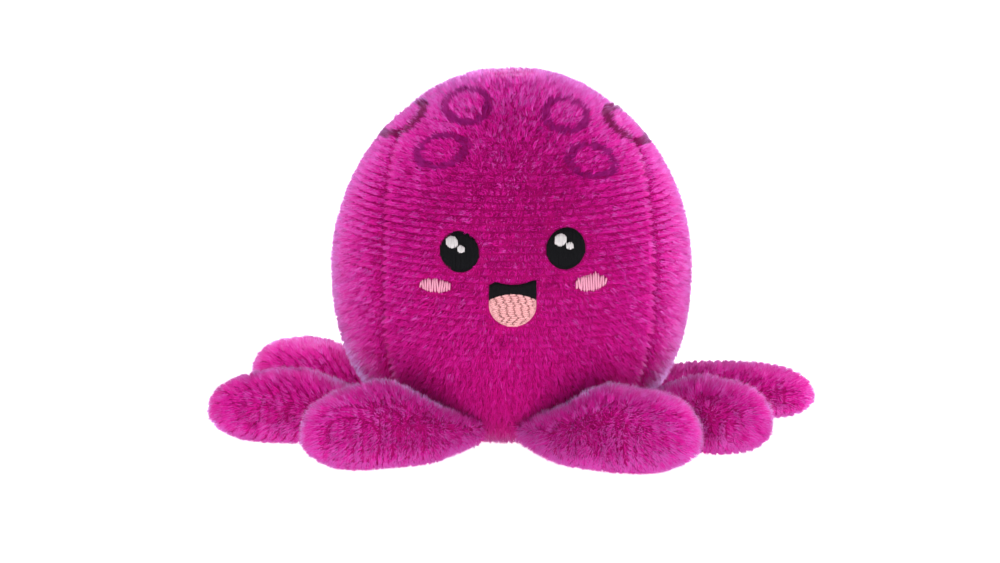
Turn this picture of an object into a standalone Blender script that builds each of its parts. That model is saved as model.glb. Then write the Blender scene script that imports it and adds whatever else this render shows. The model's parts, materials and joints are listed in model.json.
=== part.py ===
"""A small plush octopus, sewn from pile fabric and filled with fibre and a bag of pellets.

Metres, +Z up. The toy faces -Y, and its origin is the middle of its flat underside. Left and
right are the viewer's, so left is -X. A bearing is an angle from the front, positive to the right.
"""

import math

import bmesh
import bpy
from mathutils import Vector

MM = 0.001

# Head: a turned body, with one superellipse above its waist and another below it.
HEAD_RADIUS = 35.7 * MM
WAIST_HEIGHT = 33.9 * MM
CROWN_RISE = 40.6 * MM
CROWN_POWER = 1.95
BELLY_DROP = 35.0 * MM
BELLY_POWER = 2.5
NECK_HEIGHT = 7.0 * MM  # the seam where the head's panels meet the base
CROWN_STEPS = 9
BELLY_STEPS = 5
BASE_STEPS = 3
BASE_TURN_STEPS = 32
INNER_TURN_STEPS = 24

# The seams between the face, the back and the sides, as bearings from the front. They part the
# head in quarters at its waist and close over each side panel's tip, near the crown.
SEAM_BEARING = 51.0
SEAM_POWER = 2.7
SEAM_TIP_STEP = 2  # the step of the crown at which the side panels end
FACE_COLUMNS = 10
SIDE_COLUMNS = 8

# Fabric, thread and clearances.
PANEL_THICKNESS = 0.8 * MM
GAP = 0.3 * MM
THREAD_RADIUS = 0.25 * MM
MERGE_DISTANCE = 0.01 * MM

# Inside the head.
FILLING_INSET = 2.3 * MM  # inside the seam threads
BAG_RIM_HEIGHT = 9.0 * MM
BAG_TOP_RISE = 5.0 * MM
BAG_THICKNESS = 0.5 * MM
BAG_STEPS = 5

# Embroidery: flat stitching that lies on the face panel.
STITCH_HEIGHT = 0.8 * MM
EYE_HALF_WIDTH = 4.0 * MM
EYE_RISE = 4.1 * MM
EYE_DROP = 4.2 * MM
CHEEK_HALF_WIDTH = 3.2 * MM
MOUTH_HALF_WIDTH = 4.9 * MM
MOUTH_TOP = 38.7 * MM
MOUTH_DIP = 0.7 * MM
TONGUE_TOP = 36.0 * MM
TONGUE_SHOULDER = 1.3 * MM
TONGUE_MIDDLE = 33.6 * MM
TONGUE_BOTTOM = 29.2 * MM

# Tentacles: sewn into the neck seam as thin straps that swell to a round club.
ROOT_RADIUS = 29.5 * MM
ROOT_HALF_WIDTH = 7.6 * MM
ROOT_TOP = 8.4 * MM
ROOT_SEAM = 5.2 * MM
ROOT_BOTTOM = 1.6 * MM
CLUB_HALF_WIDTH = 8.5 * MM
CLUB_BOTTOM = 0.1 * MM
CLUB_SEAM_SHARE = 0.44  # the edge seam's height as a share of the club's thickness
BEND_SHARE = 0.45  # how far the middle line runs straight out, as a share of the tentacle's length
TIP_START = 0.66
TIP_POWER = 2.2
SECTION_POWER = 2.3
SEAM_GAP = 1.2 * MM  # between a tentacle's two panels, for the folded edges of their seam
STATIONS = (0.0, 0.1, 0.22, 0.36, 0.52, 0.66, 0.79, 0.89, 0.96, 0.99)
STUFFING_STATIONS = (0.08, 0.2, 0.36, 0.52, 0.66, 0.79, 0.89)
ACROSS_STEPS = 6

# name: root bearing, tip bearing, tip's distance from the middle (mm), club thickness (mm)
TENTACLES = {
    "front_left": (-29.5, -47.5, 56.4, 15.4),
    "side_left": (-68, -82, 62.2, 13.0),
    "rear_left": (-112, -122, 60.8, 12.0),
    "back_left": (-156, -153, 61.0, 12.4),
    "front_right": (20, 41.5, 55.0, 15.4),
    "side_right": (67, 58.8, 57.6, 13.0),
    "rear_right": (108, 94.5, 62.4, 9.7),
    "back_right": (156, 148, 60.0, 12.4),
}

# name: the centre's place across and up the face, in mm
EYES = {"left": (-10.6, 44.0), "right": (10.6, 44.6)}
# name: place from the eye's centre and radius, in mm
HIGHLIGHTS = {"large": (-1.25, 1.6, 1.3), "small": (0.55, 0.4, 0.85)}
# name: the centre's place across and up the face, and half its height, in mm
CHEEKS = {"left": (-15.5, 36.9, 1.5), "right": (15.7, 37.5, 1.75)}

COLOURS = {
    "plush": (0.42, 0.01, 0.16, 1),
    "plush_light": (0.50, 0.02, 0.22, 1),
    "fibre": (0.85, 0.84, 0.82, 1),
    "bag_cloth": (0.80, 0.78, 0.74, 1),
    "pellets": (0.88, 0.88, 0.86, 1),
    "sewing_thread": (0.30, 0.01, 0.12, 1),
    "black_thread": (0.012, 0.012, 0.014, 1),
    "white_thread": (0.85, 0.84, 0.82, 1),
    "pink_thread": (0.84, 0.36, 0.50, 1),
    "peach_thread": (0.72, 0.34, 0.34, 1),
}


def clear_scene():
    for obj in list(bpy.data.objects):
        bpy.data.objects.remove(obj)


def make_collection(name):
    collection = bpy.data.collections.new(name)
    bpy.context.scene.collection.children.link(collection)
    return collection


def make_material(name):
    material = bpy.data.materials.new(name)
    material.use_nodes = True
    shader = material.node_tree.nodes["Principled BSDF"]
    shader.inputs["Base Color"].default_value = COLOURS[name]
    shader.inputs["Roughness"].default_value = 0.9
    shader.inputs["Metallic"].default_value = 0.0
    return material


def add_object(name, data, material, collection):
    obj = bpy.data.objects.new(name, data)
    data.materials.append(material)
    collection.objects.link(obj)
    return obj


def mesh_from(name, bm):
    bmesh.ops.remove_doubles(bm, verts=bm.verts, dist=MERGE_DISTANCE)
    mesh = bpy.data.meshes.new(name)
    bm.to_mesh(mesh)
    bm.free()
    mesh.shade_smooth()
    return mesh


def direction(bearing):
    """The level unit vector at a bearing in degrees."""
    angle = math.radians(bearing)
    return Vector((math.sin(angle), -math.cos(angle), 0))


# The head's turned shape.


def head_curve(height):
    """The superellipse at a height: the distance from the waist, its rise and its power."""
    above = height - WAIST_HEIGHT
    if above >= 0:
        return above, CROWN_RISE, CROWN_POWER
    return -above, BELLY_DROP, BELLY_POWER


def head_radius(height):
    distance, rise, power = head_curve(height)
    return HEAD_RADIUS * max(0.0, 1 - (distance / rise) ** power) ** (1 / power)


def head_normal(height):
    """The surface's outward direction as (outward, up) at a height."""
    distance, rise, power = head_curve(height)
    outward = (head_radius(height) / HEAD_RADIUS) ** (power - 1) / HEAD_RADIUS
    up = math.copysign((distance / rise) ** (power - 1) / rise, height - WAIST_HEIGHT)
    return Vector((outward, up)).normalized()


def inset_point(height, inset):
    """(radius, height) of the point that lies inset inside the head's surface."""
    outward, up = head_normal(height)
    return (max(0.0, head_radius(height) - outward * inset), height - up * inset)


def crown_heights():
    """Heights from the crown down to the waist, evenly spaced in angle."""
    quarter = math.pi / 2
    return [
        WAIST_HEIGHT + CROWN_RISE * math.sin(quarter * (1 - step / CROWN_STEPS))
        for step in range(CROWN_STEPS + 1)
    ]


def heights_between(high, low, steps):
    return [high + (low - high) * step / steps for step in range(steps + 1)]


def head_heights():
    """The heights of the head's profile, from the crown down to the neck seam."""
    return crown_heights() + heights_between(WAIST_HEIGHT, NECK_HEIGHT + GAP, BELLY_STEPS)[1:]


def turned(name, profile, material, collection, steps, wall=0.0):
    """A turned body from (radius, height) points that run down its outer side, or a shell of it."""
    mesh = bpy.data.meshes.new(name)
    points = [(radius, 0, height) for radius, height in profile]
    edges = [(index, index + 1) for index in range(len(points) - 1)]
    mesh.from_pydata(points, edges, [])
    obj = add_object(name, mesh, material, collection)
    screw = obj.modifiers.new("turn", "SCREW")
    screw.axis = "Z"
    screw.steps = steps
    screw.render_steps = steps
    screw.use_merge_vertices = True
    screw.merge_threshold = MERGE_DISTANCE
    if wall:
        thicken(obj, wall, -1)
    return obj


def thicken(obj, thickness, side):
    """Gives an open surface its thickness, inwards for side -1 and outwards for side 1."""
    solidify = obj.modifiers.new("thickness", "SOLIDIFY")
    solidify.thickness = thickness
    solidify.offset = side
    solidify.use_even_offset = True


# The head's panels.


def seam_tip_height():
    return crown_heights()[SEAM_TIP_STEP]


def seam_bearing(height):
    """How far round from the front the face's side seams lie at a height, in degrees."""
    climb = (height - WAIST_HEIGHT) / (seam_tip_height() - WAIST_HEIGHT)
    return SEAM_BEARING + (90 - SEAM_BEARING) * min(1.0, max(0.0, climb)) ** SEAM_POWER


def head_point(bearing, height):
    return direction(bearing) * head_radius(height) + Vector((0, 0, height))


def head_panel(name, middle, rows, point, material, collection):
    """A panel of the head's surface, from (height, half its width in degrees) rows and an end point."""
    columns = FACE_COLUMNS if middle % 180 == 0 else SIDE_COLUMNS
    bm = bmesh.new()
    made = []
    for height, half in rows:
        bearings = [middle + half * (2 * column / columns - 1) for column in range(columns + 1)]
        made.append([bm.verts.new(head_point(bearing, height)) for bearing in bearings])
    for upper, lower in zip(made, made[1:]):
        for column in range(columns):
            bm.faces.new((lower[column], lower[column + 1], upper[column + 1], upper[column]))
    end = bm.verts.new(point)
    for left, right in zip(made[0], made[0][1:]):
        bm.faces.new((left, right, end))
    panel = add_object(name, mesh_from(name, bm), material, collection)
    thicken(panel, PANEL_THICKNESS, -1)


def make_head_panels(material, collection):
    """The face and the back meet over the crown, and a side panel fills the gap on each side."""
    heights = head_heights()
    wide = []
    narrow = []
    for step, height in enumerate(heights[1:], 1):
        gap = math.degrees(math.asin(GAP / head_radius(height)))
        wide.append((height, seam_bearing(height) - gap))
        if step > SEAM_TIP_STEP:
            narrow.append((height, 90 - seam_bearing(height) - gap))
    crown = heights[0]
    tip = seam_tip_height() - 2 * GAP
    front_end = Vector((0, -GAP, crown))
    back_end = Vector((0, GAP, crown))
    head_panel("face_panel", 0, wide, front_end, material, collection)
    head_panel("back_panel", 180, wide, back_end, material, collection)
    head_panel("left_side_panel", -90, narrow, head_point(-90, tip), material, collection)
    head_panel("right_side_panel", 90, narrow, head_point(90, tip), material, collection)


def make_base_panel(material, collection):
    heights = heights_between(NECK_HEIGHT - GAP, 0, BASE_STEPS)
    profile = [(head_radius(height), height) for height in heights] + [(0, 0)]
    turned("base_panel", profile, material, collection, BASE_TURN_STEPS, PANEL_THICKNESS)


def thread_tube(name, points, cyclic, material, collection):
    curve = bpy.data.curves.new(name, "CURVE")
    curve.dimensions = "3D"
    spline = curve.splines.new("POLY")
    spline.points.add(len(points) - 1)
    for control, point in zip(spline.points, points):
        control.co = (*point, 1)
    spline.use_cyclic_u = cyclic
    curve.bevel_depth = THREAD_RADIUS
    curve.bevel_resolution = 1
    curve.use_fill_caps = not cyclic
    add_object(name, curve, material, collection)


def make_seam_threads(material, collection):
    """The lines of stitching, just inside the panels: the side seams, the crown's and the neck's."""
    inset = PANEL_THICKNESS + GAP + THREAD_RADIUS
    heights = head_heights()

    def inner_point(bearing, height):
        radius, z = inset_point(height, inset)
        return direction(bearing) * radius + Vector((0, 0, z))

    for end in ("front", "back"):
        for side, sign in (("left", -1), ("right", 1)):
            points = []
            for height in heights[SEAM_TIP_STEP + 1 : -1]:
                bearing = seam_bearing(height) if end == "front" else 180 - seam_bearing(height)
                points.append(inner_point(sign * bearing, height))
            name = f"{end}_{side}_seam_thread"
            thread_tube(name, points, False, material, collection)
    rising = [inner_point(-90, height) for height in heights[SEAM_TIP_STEP:0:-1]]
    falling = [inner_point(90, height) for height in heights[1 : SEAM_TIP_STEP + 1]]
    thread_tube("crown_seam_thread", rising + falling, False, material, collection)
    turn = 360 / BASE_TURN_STEPS
    ring = [inner_point(turn * step, NECK_HEIGHT) for step in range(BASE_TURN_STEPS)]
    thread_tube("neck_seam_thread", ring, True, material, collection)


# What is inside the head.


def bag_dome(rise_from, rim_radius, steps):
    """(radius, height) points of the pellet bag's domed top, from its middle out to its rim."""
    points = []
    for step in range(steps):
        radius = rim_radius * step / steps
        points.append((radius, rise_from + BAG_TOP_RISE * math.cos(math.pi / 2 * step / steps)))
    return points


def base_line(inset, high, low, steps):
    """(radius, height) points inside the base, from its side down to its middle."""
    points = [inset_point(height, inset) for height in heights_between(high, low, steps)]
    floor = points[-1][1]
    return points + [(0, floor)]


def make_pellet_bag(cloth, pellets, collection):
    rim = inset_point(BAG_RIM_HEIGHT, FILLING_INSET)
    lowest = 1.0 * MM
    bottom = base_line(FILLING_INSET, BAG_RIM_HEIGHT, lowest, BASE_STEPS)
    turned("pellet_bag_bottom", bottom, cloth, collection, INNER_TURN_STEPS, BAG_THICKNESS)
    dome_base = rim[1] + BAG_THICKNESS + 2 * GAP
    dome = bag_dome(dome_base, rim[0], BAG_STEPS) + [(rim[0], dome_base)]
    turned("pellet_bag_top", dome, cloth, collection, INNER_TURN_STEPS, BAG_THICKNESS)
    inset = FILLING_INSET + BAG_THICKNESS + GAP
    side = base_line(inset, BAG_RIM_HEIGHT - 2 * GAP, lowest, BASE_STEPS)
    top = bag_dome(dome_base - BAG_THICKNESS - 2 * GAP, side[0][0], BAG_STEPS)
    turned("pellet_fill", top + side, pellets, collection, INNER_TURN_STEPS)
    return dome_base


def make_head_stuffing(material, collection, dome_base):
    heights = crown_heights() + heights_between(WAIST_HEIGHT, dome_base + 2 * MM, BELLY_STEPS)[1:]
    outer = [inset_point(height, FILLING_INSET) for height in heights]
    rim_radius = outer[-1][0]
    hollow = bag_dome(dome_base + 3 * GAP, rim_radius, BAG_STEPS)
    outer[0] = (0, outer[0][1])
    turned("head_stuffing", outer + hollow[::-1], material, collection, INNER_TURN_STEPS)


# The embroidered face.


def face_point(across, height, proud):
    """A point on the front of the head, proud of the fabric's surface."""
    radius = head_radius(height)
    forward = math.sqrt(radius**2 - across**2)
    outward, up = head_normal(height)
    normal = Vector((across / radius * outward, -forward / radius * outward, up))
    return Vector((across, -forward, height)) + normal * proud


def stitched_patch(name, columns, rows, layer, material, collection):
    """A patch of stitching from (across, low, high) columns. layer 0 lies on the fabric, 1 on layer 0."""
    proud = GAP + layer * (STITCH_HEIGHT + GAP)
    bm = bmesh.new()
    grid = [
        [
            bm.verts.new(face_point(across, low + (high - low) * row / rows, proud))
            for row in range(rows + 1)
        ]
        for across, low, high in columns
    ]
    for left, right in zip(grid, grid[1:]):
        for row in range(rows):
            bm.faces.new((left[row], right[row], right[row + 1], left[row + 1]))
    patch = add_object(name, mesh_from(name, bm), material, collection)
    thicken(patch, STITCH_HEIGHT / (1 + layer), 1)


def oval_columns(across, height, half_width, rise, drop, steps):
    """The columns of an oval round a centre; rise and drop are its reach above and below it."""
    columns = []
    for step in range(steps + 1):
        angle = math.pi * step / steps
        reach = math.sin(angle)
        x = across - half_width * math.cos(angle)
        columns.append((x, height - drop * reach, height + rise * reach))
    return columns


def make_eyes(black, white, collection):
    for side, (across, height) in EYES.items():
        oval = oval_columns(across * MM, height * MM, EYE_HALF_WIDTH, EYE_RISE, EYE_DROP, 12)
        stitched_patch("eye_" + side, oval, 4, 0, black, collection)
        for size, (right, up, radius) in HIGHLIGHTS.items():
            place = ((across + right) * MM, (height + up) * MM)
            spot = oval_columns(*place, *(radius * MM,) * 3, 6)
            stitched_patch(f"eye_{side}_{size}_highlight", spot, 2, 1, white, collection)


def make_cheeks(material, collection):
    for side, (across, height, half_height) in CHEEKS.items():
        reach = (CHEEK_HALF_WIDTH, half_height * MM, half_height * MM)
        oval = oval_columns(across * MM, height * MM, *reach, 10)
        stitched_patch("cheek_" + side, oval, 2, 0, material, collection)


def make_mouth(black, peach, collection):
    steps = 10
    mouth = []
    tongue = []
    for step in range(steps + 1):
        angle = math.pi * step / steps
        share = -math.cos(angle)
        across = MOUTH_HALF_WIDTH * share
        tongue_top = TONGUE_TOP - TONGUE_SHOULDER * share**2
        mouth.append((across, tongue_top + GAP, MOUTH_TOP - MOUTH_DIP * (1 - share**2)))
        drop = (TONGUE_MIDDLE - TONGUE_BOTTOM) * math.sin(angle)
        tongue.append((across, TONGUE_MIDDLE - drop, tongue_top))
    stitched_patch("mouth", mouth, 2, 0, black, collection)
    stitched_patch("tongue", tongue, 4, 0, peach, collection)


# The tentacles.


def smooth_step(share):
    share = min(1.0, max(0.0, share))
    return share * share * (3 - 2 * share)


def tip_share(station):
    """1 along the tentacle, falling to 0 in a round end."""
    if station <= TIP_START:
        return 1.0
    beyond = (station - TIP_START) / (1 - TIP_START)
    return max(0.0, 1 - beyond**TIP_POWER) ** (1 / TIP_POWER)


class Tentacle:
    """One tentacle's measures, as functions of the station, 0 at the root and 1 at the tip."""

    def __init__(self, root_bearing, tip_bearing, reach, thickness):
        self.root = direction(root_bearing) * ROOT_RADIUS
        self.tip = direction(tip_bearing) * reach * MM
        length = (self.tip - self.root).length
        self.bend = self.root + direction(root_bearing) * length * BEND_SHARE
        self.thickness = thickness * MM
        self.hinge = self.root + Vector((0, 0, ROOT_TOP))

    def middle(self, station):
        back = 1 - station
        return self.root * back**2 + self.bend * 2 * back * station + self.tip * station**2

    def side(self, station):
        """The level unit vector square to the middle line, to the right as seen from above the root."""
        along = (self.bend - self.root) * (1 - station) + (self.tip - self.bend) * station
        return Vector((-along.y, along.x, 0)).normalized()

    def half_width(self, station):
        swell = ROOT_HALF_WIDTH + (CLUB_HALF_WIDTH - ROOT_HALF_WIDTH) * smooth_step(station / 0.5)
        return swell * tip_share(station)

    def heights(self, station):
        """The heights of the belly, the edge seam and the top, less the seam's gap."""
        swell = smooth_step(station / 0.55)
        settle = smooth_step(station / 0.35)
        seam = ROOT_SEAM + (CLUB_SEAM_SHARE * self.thickness - ROOT_SEAM) * swell
        top = ROOT_TOP + (self.thickness - ROOT_TOP) * swell - SEAM_GAP / 2
        bottom = ROOT_BOTTOM + (CLUB_BOTTOM - ROOT_BOTTOM) * settle + SEAM_GAP / 2
        end = tip_share(station)
        return seam + (bottom - seam) * end, seam, seam + (top - seam) * end

    def half_section(self, station, upper, inset, steps):
        """Points over the top, or under the belly, from the right edge to the left."""
        low, seam, high = self.heights(station)
        rise = (high - seam if upper else seam - low) - inset
        width = self.half_width(station) - inset
        points = []
        for step in range(steps + 1):
            angle = math.pi * step / steps
            across = math.copysign(abs(math.cos(angle)) ** (2 / SECTION_POWER), math.cos(angle))
            up = math.sin(angle) ** (2 / SECTION_POWER) * rise * (1 if upper else -1)
            point = self.middle(station) + self.side(station) * across * width
            points.append(point + Vector((0, 0, seam + up)) - self.hinge)
        return points


def loft(bm, rings, closed):
    """Quads between rings of points. Returns the rings' vertices."""
    made = [[bm.verts.new(point) for point in ring] for ring in rings]
    for near, far in zip(made, made[1:]):
        count = len(near)
        for index in range(count if closed else count - 1):
            after = (index + 1) % count
            bm.faces.new((near[index], near[after], far[after], far[index]))
    return made


def tentacle_panel(name, tentacle, upper, material, collection):
    """The pile fabric of a tentacle's top or underside."""
    shift = Vector((0, 0, SEAM_GAP / 2 if upper else -SEAM_GAP / 2))
    rings = [
        [point + shift for point in tentacle.half_section(station, upper, 0, ACROSS_STEPS)]
        for station in STATIONS
    ]
    tip_height = tentacle.heights(1)[1]
    tip = tentacle.tip + Vector((0, 0, tip_height)) - tentacle.hinge + shift
    bm = bmesh.new()
    last = loft(bm, rings, False)[-1]
    end = bm.verts.new(tip)
    for near, far in zip(last, last[1:]):
        bm.faces.new((near, far, end))
    if not upper:
        bmesh.ops.reverse_faces(bm, faces=bm.faces)
    panel = add_object(name, mesh_from(name, bm), material, collection)
    thicken(panel, PANEL_THICKNESS, -1)
    return panel


def tentacle_stuffing(name, tentacle, material, collection):
    inset = PANEL_THICKNESS + 2 * GAP
    rings = []
    for station in STUFFING_STATIONS:
        over = tentacle.half_section(station, True, inset, ACROSS_STEPS)
        under = tentacle.half_section(station, False, inset, ACROSS_STEPS)
        rings.append(over + under[-2:0:-1])
    bm = bmesh.new()
    made = loft(bm, rings, True)
    bm.faces.new(made[0])
    bm.faces.new(made[-1][::-1])
    bmesh.ops.recalc_face_normals(bm, faces=bm.faces)
    bmesh.ops.triangulate(bm, faces=[face for face in bm.faces if len(face.verts) > 4])
    return add_object(name, mesh_from(name, bm), material, collection)


def make_tentacles(plush, fibre, collection):
    for name, measures in TENTACLES.items():
        tentacle = Tentacle(*measures)
        root_joint = bpy.data.objects.new(name + "_root_joint", None)
        root_joint.location = tentacle.hinge
        collection.objects.link(root_joint)
        pieces = (
            tentacle_panel(name + "_tentacle_top", tentacle, True, plush, collection),
            tentacle_panel(name + "_tentacle_underside", tentacle, False, plush, collection),
            tentacle_stuffing(name + "_tentacle_stuffing", tentacle, fibre, collection),
        )
        for piece in pieces:
            piece.parent = root_joint


def main():
    clear_scene()
    parts = make_collection("plush_octopus")
    materials = {name: make_material(name) for name in COLOURS}
    make_head_panels(materials["plush"], parts)
    make_base_panel(materials["plush"], parts)
    make_seam_threads(materials["sewing_thread"], parts)
    dome_base = make_pellet_bag(materials["bag_cloth"], materials["pellets"], parts)
    make_head_stuffing(materials["fibre"], parts, dome_base)
    make_eyes(materials["black_thread"], materials["white_thread"], parts)
    make_cheeks(materials["pink_thread"], parts)
    make_mouth(materials["black_thread"], materials["peach_thread"], parts)
    make_tentacles(materials["plush_light"], materials["fibre"], parts)


main()
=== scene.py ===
"""The plush octopus's looks: pile fabric skins, their pile, printed rings and an embroidered face.

Metres, +Z up, in the frame's own axes. The toy faces -Y and left is -X, as its viewer sees it.
The skins lie just outside the frame's panels, and their pile stands up from them.
"""

import json
import math

import bpy
import numpy as np
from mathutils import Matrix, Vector


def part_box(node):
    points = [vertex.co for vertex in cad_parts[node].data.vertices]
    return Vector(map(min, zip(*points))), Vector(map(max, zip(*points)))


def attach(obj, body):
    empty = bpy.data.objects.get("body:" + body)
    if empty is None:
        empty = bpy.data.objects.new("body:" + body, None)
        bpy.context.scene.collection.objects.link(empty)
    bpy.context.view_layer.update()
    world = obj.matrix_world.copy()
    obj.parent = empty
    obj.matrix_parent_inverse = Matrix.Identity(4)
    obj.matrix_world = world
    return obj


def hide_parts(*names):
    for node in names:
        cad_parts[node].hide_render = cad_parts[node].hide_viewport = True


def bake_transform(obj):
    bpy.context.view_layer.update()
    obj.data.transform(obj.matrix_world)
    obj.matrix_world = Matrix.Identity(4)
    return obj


MM = 0.001
UP = np.array([0.0, 0.0, 1.0])

# Head, in the frame's measures. Its radius and its crown's height are read from the frame.
WAIST_HEIGHT = 33.9 * MM
CROWN_POWER = 1.95
BELLY_DROP = 35.0 * MM
BELLY_POWER = 2.5
NECK_HEIGHT = 7.0 * MM
SEAM_BEARING = 51.0
SEAM_POWER = 2.7
SEAM_TURN = math.radians(3)  # the cloth is sewn on turned this far to the right

# Tentacles, in the frame's measures. Roots and directions are read from the frame's joints.
BEND_SHARE = 0.45
TIP_START = 0.66
TIP_POWER = 2.2
SECTION_POWER = 2.3
ROOT_HALF_WIDTH = 7.6 * MM
CLUB_HALF_WIDTH = 8.5 * MM
ROOT_TOP = 8.4 * MM
ROOT_SEAM = 5.2 * MM
ROOT_BOTTOM = 1.6 * MM
CLUB_BOTTOM = 0.1 * MM
CLUB_SEAM_SHARE = 0.44
CLUB_FULL_AT = 0.55  # the station at which a tentacle has its full thickness
CLUB_WIDE_AT = 0.5
CLUB_SETTLED_AT = 0.35  # the station from which it lies on the floor
EDGE_PINCH = 0.02  # how much the edge seam narrows it, as a share of its width
EDGE_PINCH_REACH = 0.16
TIP_ROUNDING = 12  # the skins close in on the tip where it has thinned to a twelfth
SEWN_IN = 3.6 * MM  # how far a tentacle's fabric runs on into the head's seam

# Fabric.
SKIN_PROUD = 0.35 * MM  # how far the skins stand outside the frame's panels
SKIN_THICKNESS = 0.35 * MM
CREASE_DEPTH = 1.6 * MM
CREASE_WIDTH = 1.15 * MM
CROWN_CREASE_SHARE = 0.3
LUMP_HEIGHT = 0.3 * MM
# The stuffing's unevenness is a wave and a ripple, with turns round the head and lengths down it.
# All such lengths are per radian of a wave.
WAVE_TURNS = 3
WAVE_LENGTH = 9 * MM
RIPPLE_TURNS = 5
RIPPLE_LENGTH = 13 * MM
RIPPLE_SHARE = 0.6
FRONT_FULLNESS = 0.24 * MM  # how far the stuffing swells the head at the front and the back
SIDE_FULLNESS = 0.65 * MM
DENT_SHARE = 0.05  # of a tentacle's thickness
DENTS_ALONG = 10  # radians of the dents' wave from a tentacle's root to its tip
DENTS_ROUND = 3  # and in each radian round it
LOWEST_SKIN = 0.3 * MM
PROFILE_STEPS = 900
CROWN_HOLE = 0.15 * MM  # how far from the head's two poles the skins stop
# Rows and columns of points in the skins.
FACE_GRID = (110, 90)
SIDE_GRID = (100, 70)
BASE_GRID = (50, 220)
TENTACLE_GRID = (70, 44)

# Pile.
ROW_PITCH = 1.5 * MM
TUFT_PITCH = 0.62 * MM
STRANDS_PER_MM2 = 15.0
STRAND_RADIUS = 0.085 * MM
STRAND_SPREAD = 0.25  # how much thicker the thickest strand is, as a share
STRAND_FACING = 0.25  # how far a strand's normals turn from the cloth's to its own way
STRAND_ROUNDING = 0.35  # and then away from its own middle
STRAND_FACES = ((0, 1, 3), (1, 2, 3), (2, 0, 3), (0, 2, 1))
ROOT_SINK = 0.25 * MM
ROW_GATHER = 0.85  # how far a strand's tip is drawn to the middle of its row
TUFT_GATHER = 0.4
LOOSENING = 0.75  # how much of that disorder undoes
VALLEY_DEPTH = 0.55  # how much shorter the pile is between its rows, as a share
UNEVEN_TUFTS = 0.07  # how much the lengths differ from tuft to tuft, as a share
UNEVEN_STRANDS = 0.08
STRAY = 0.09  # how far single strands lean at random
DISORDERED_STRAY = 0.08
SWAY_ALONG = 0.24  # how far whole tufts lean at random along their row
SWAY_ACROSS = 0.14
TUFT_TABLE = 4096  # so many tufts differ
ROW_PRIME = 73856093
COLUMN_PRIME = 19349663
HEAD_PILE = 1.8 * MM
HEAD_LEAN = 0.3
TENTACLE_LEAN = 0.55
COMB_DROP = 0.35
SMOOTH_NORMALS = 0.55  # how much of the smooth head's normals the pile follows
# The way the head's pile is combed swings from side to side in a wave.
FLOW_TURNS = 4
FLOW_LENGTH = 11 * MM
FLOW_SHARE = 0.25
CROWN_SWIRL = 7.0 * MM  # this near the crown the pile stands in no rows
FACE_ORDER = 0.7
HEAD_ORDER = 0.85
SMOOTHED_ORDER = 0.5  # how much of that order is lost on the crown
SMOOTH_FROM = 50.0 * MM  # above this height the rows fade into smoother pile
SMOOTH_REACH = 10.0 * MM
SEAM_SHADOW = 1.3 * MM  # how far from a seam its pile is short and darkened with painted shade
SEAM_PILE_SHARE = 0.5  # the pile's length there, of its full length
PRESSED_SHARE = 0.6  # and round the embroidery
LOW_PILE_SHARE = 0.45  # and where a tentacle lies on the floor
LOW_PILE_FROM = 0.5 * MM
LOW_PILE_REACH = 5 * MM
PILE_TOP = 2.0 * MM  # the printed rings lie this far outside the frame's panels
BASE_PILE = 0.9 * MM  # the least length of the head's pile
FULL_PILE_FROM = -3 * MM  # its length grows from here, so that it is half its full length at 0
FULL_PILE_REACH = 6 * MM
BAND_EDGE = 36.0 * MM  # the height that parts the pile of a tall panel in two pieces
FLOOR_CLEARANCE = 0.05 * MM

# Embroidery, in the frame's measures; its places are read from the frame.
STITCH_LIFT = 0.8 * MM
STITCH_DOME = 0.35 * MM
PATCH_INSET = 0.22 * MM
CLEAR_MARGIN = 0.2 * MM
SHORT_MARGIN = 1.3 * MM  # round the stitching the pile is pressed short
TUBE_SIDES = 6
TUBE_END = 0.25  # a thread's radius at its ends, as a share
STITCH_POINTS = 9
STITCH_SQUARENESS = 4  # how flat a stitch is before it dips to its ends
OVAL_END = 0.12  # how far an oval's first column lies from its very end, as an angle
TONGUE_END = 0.1
TONGUE_COLUMNS = 25
MOUTH_OVERLAP = 0.2 * MM
BED_ROWS = 7
BED_DEPTH = 1.2 * MM
HIGHLIGHT_LIFT = STITCH_LIFT + STITCH_DOME + 0.12 * MM  # the highlights lie on the eyes
CHEEK_BED_DROP = 0.2 * MM
TONGUE_ROW = 0.42 * MM  # from one row of stitches to the next
TONGUE_STITCH = 1.5 * MM
TONGUE_GAP = 0.05 * MM  # at each end of a stitch
TONGUE_STITCH_POINTS = 6
TONGUE_FEWEST_POINTS = 3  # a stitch cut shorter than this by the tongue's edge is left out
TONGUE_UNEVENNESS = 0.02 * MM
TONGUE_THREAD = 0.24 * MM
LEFT_CORNER = 1.2 * MM  # how far the mouth's top left corner is rounded off
LEFT_CORNER_FROM = 0.7  # where the rounding begins, as a share of the mouth's half width
RIGHT_CORNER = 0.3 * MM
RIGHT_CORNER_FROM = 0.8
# kind of patch: (pitch, unevenness and thread radius in mm)
SATIN = {
    "eye": (0.26, 0.07, 0.17),
    "highlight": (0.3, 0.1, 0.18),
    "cheek": (0.5, 0.22, 0.24),
    "mouth": (0.26, 0.05, 0.17),
}
OVAL_COLUMNS = {"eye": 31, "highlight": 15, "cheek": 25}
# name: (colour, gloss)
THREADS = {
    "black": ((0.005, 0.005, 0.006), 0.06),
    "white": ((0.46, 0.43, 0.44), 0.2),
    "pink": ((0.56, 0.23, 0.33), 0.2),
    "peach": ((0.57, 0.28, 0.29), 0.2),
}
MOUTH_DIP = 1.2 * MM
TONGUE_SHOULDER = 1.3 * MM
TONGUE_SIDE = 0.64  # the height at which the tongue is widest, as a share of its own

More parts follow.
